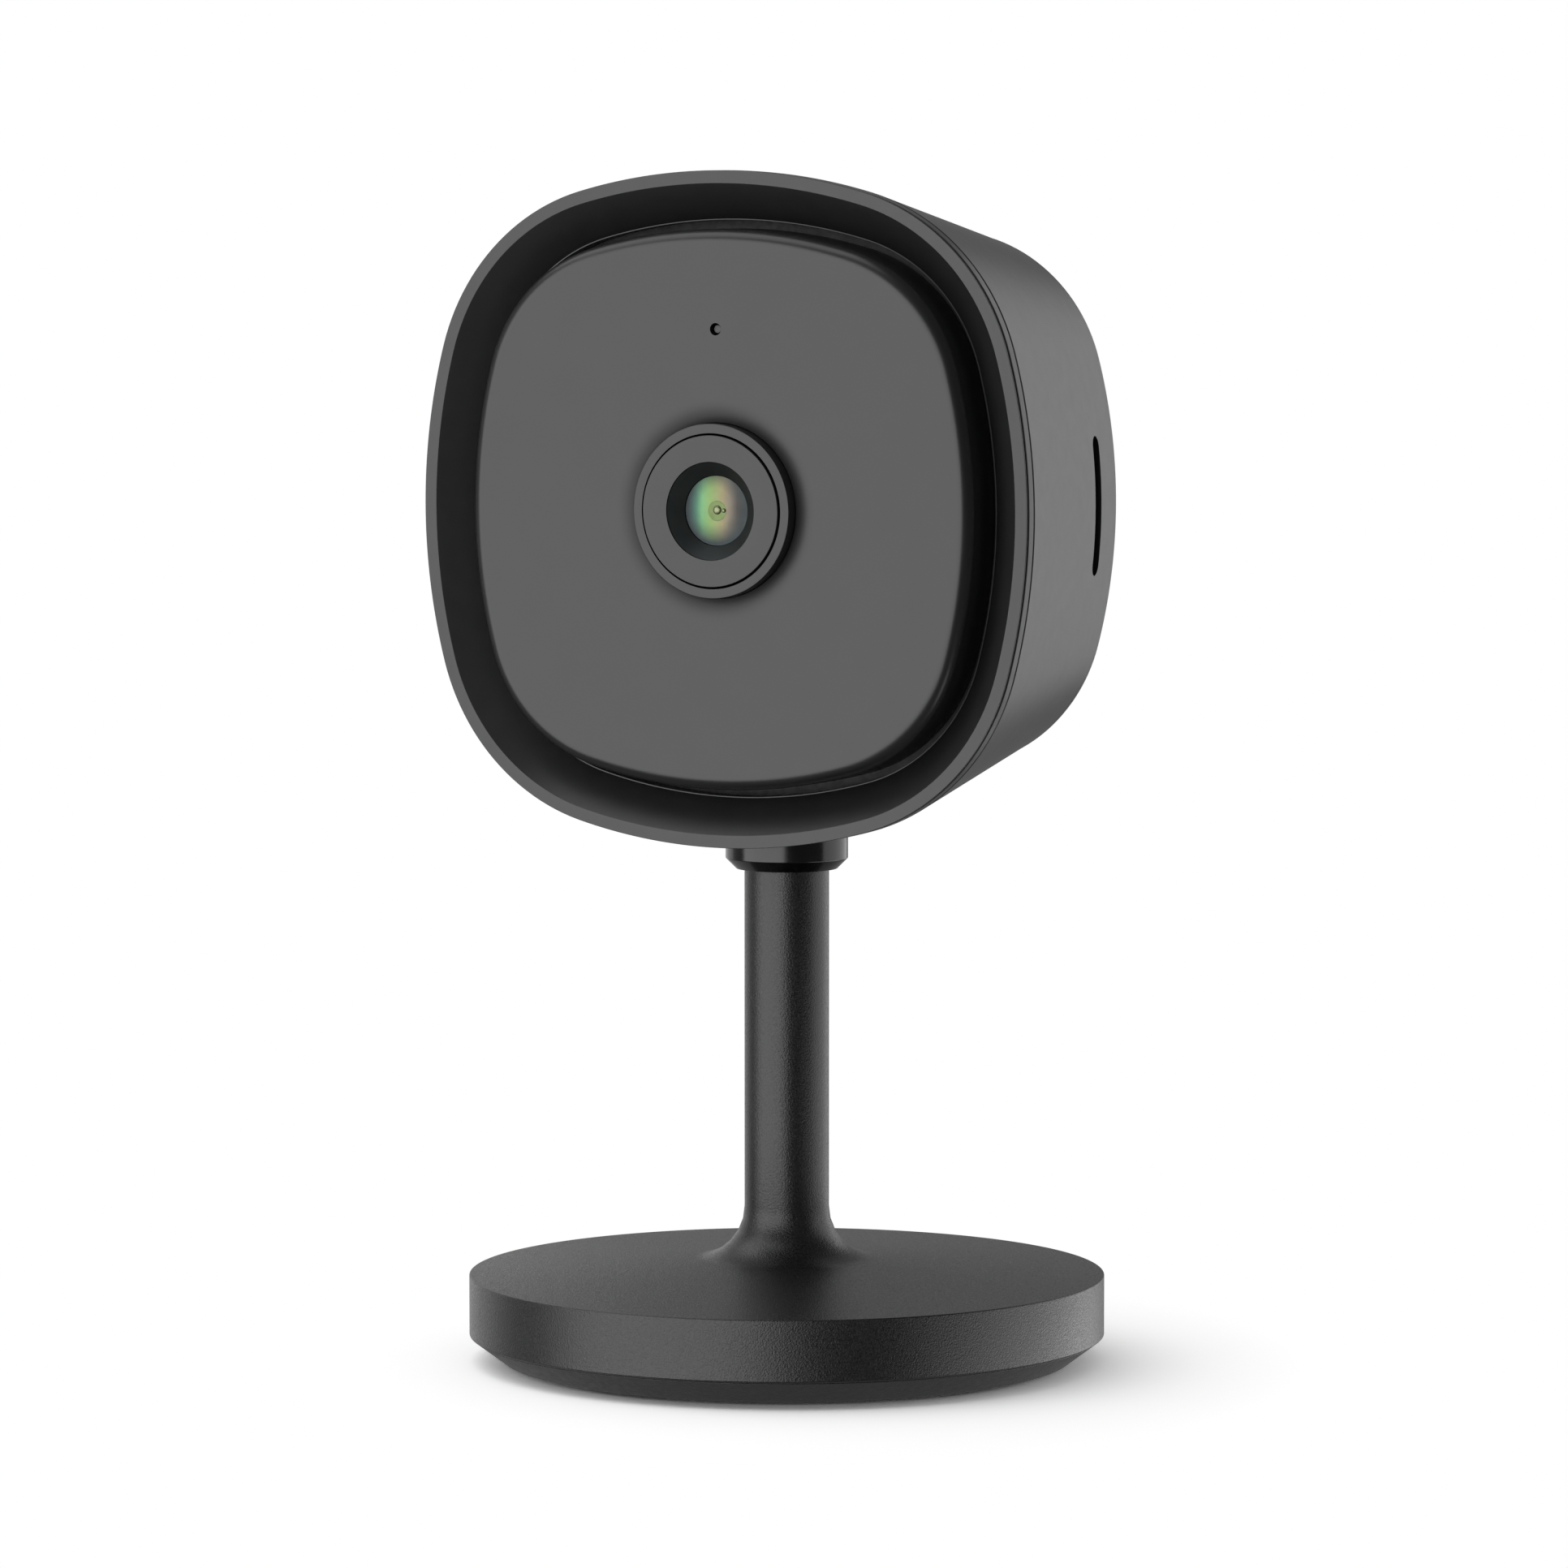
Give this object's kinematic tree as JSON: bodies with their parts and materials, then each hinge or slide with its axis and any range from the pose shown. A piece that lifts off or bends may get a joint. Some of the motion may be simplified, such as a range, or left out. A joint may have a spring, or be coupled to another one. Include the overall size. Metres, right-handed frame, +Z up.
{
  "type": "security camera",
  "caption": "Indoor security camera: a round-square head on a swivel and tilt neck, with a slim stem and a round weighted base.",
  "frame": {"origin": "middle of the foot pad's underside, on the stem's axis", "axes": "+Z up along the stem, -Y the way the lens looks, +X to the right as seen from in front of the lens"},
  "size_m": [0.0602, 0.0578, 0.1081],
  "materials": {
    "powder_coat": "fine grained powder coat, satin black",
    "satin_plastic": "satin charcoal",
    "panel_plastic": "smooth satin charcoal",
    "gloss_black": "polished black",
    "matte_black": "matte black",
    "rubber": "matte black",
    "coated_glass": "green anti-reflection coating",
    "zinc_steel": "zinc plated",
    "aluminium": "satin",
    "circuit_board": "green solder mask",
    "chip_black": "moulded",
    "clear_epoxy": "clear",
    "nylon": "natural"
  },
  "bodies": {
    "base": {"stand": "powder_coat", "base_weight": "zinc_steel", "weight_screw": "zinc_steel", "bottom_cover": "matte_black", "cover_screw_1": "zinc_steel", "cover_screw_2": "zinc_steel", "cover_screw_3": "zinc_steel", "foot_pad": "rubber", "swivel_washer": "zinc_steel", "swivel_screw": "zinc_steel"},
    "neck": {"swivel_collar": "gloss_black", "wave_washer": "zinc_steel", "neck_knuckle": "matte_black", "friction_washer_left": "nylon", "friction_washer_right": "nylon"},
    "head": {"tilt_cradle": "matte_black", "tilt_pin": "zinc_steel", "pin_clip": "zinc_steel", "rear_housing": "satin_plastic", "front_bezel": "satin_plastic", "trim_band": "satin_plastic", "front_panel": "panel_plastic", "mid_frame": "matte_black", "lens_ring": "satin_plastic", "lens_face": "panel_plastic", "lens_baffle": "gloss_black", "front_element": "coated_glass", "lens_barrel": "matte_black", "second_element": "coated_glass", "lens_spacer": "matte_black", "rear_element": "coated_glass", "lens_holder": "matte_black", "filter_solenoid": "chip_black", "image_sensor": "chip_black", "lamp_board": "circuit_board", "ir_lamp_1": "clear_epoxy", "ir_lamp_2": "clear_epoxy", "ir_lamp_3": "clear_epoxy", "ir_lamp_4": "clear_epoxy", "status_lamp": "clear_epoxy", "light_pipe": "panel_plastic", "light_seal": "rubber", "main_board": "circuit_board", "board_screw_1": "zinc_steel", "board_screw_2": "zinc_steel", "board_screw_3": "zinc_steel", "board_screw_4": "zinc_steel", "processor": "chip_black", "heat_sink": "aluminium", "board_header": "nylon", "power_board": "circuit_board", "usb_port": "zinc_steel", "card_socket": "zinc_steel", "reset_switch": "chip_black", "speaker": "matte_black", "microphone": "aluminium", "wifi_aerial": "circuit_board"},
    "filter": {"ir_cut_filter": "coated_glass"},
    "button": {"reset_button": "rubber"}
  },
  "joints": [
    {"name": "pan", "type": "hinge", "parent": "base", "child": "neck", "pos_m": [0, 0, 0.045], "axis": [0, 0, 1], "range_deg": [-175, 175]},
    {"name": "tilt", "type": "hinge", "parent": "neck", "child": "head", "pos_m": [0, 0, 0.056], "axis": [1, 0, 0], "range_deg": [-35, 20]},
    {"name": "filter_slide", "type": "slide", "parent": "head", "child": "filter", "axis": [1, 0, 0], "range_m": [0, 0.0055]},
    {"name": "reset_press", "type": "slide", "parent": "head", "child": "button", "axis": [0, -1, 0], "range_m": [0, 0.0004], "stiffness_N_per_m": 500, "springref_m": -0.0003}
  ]
}
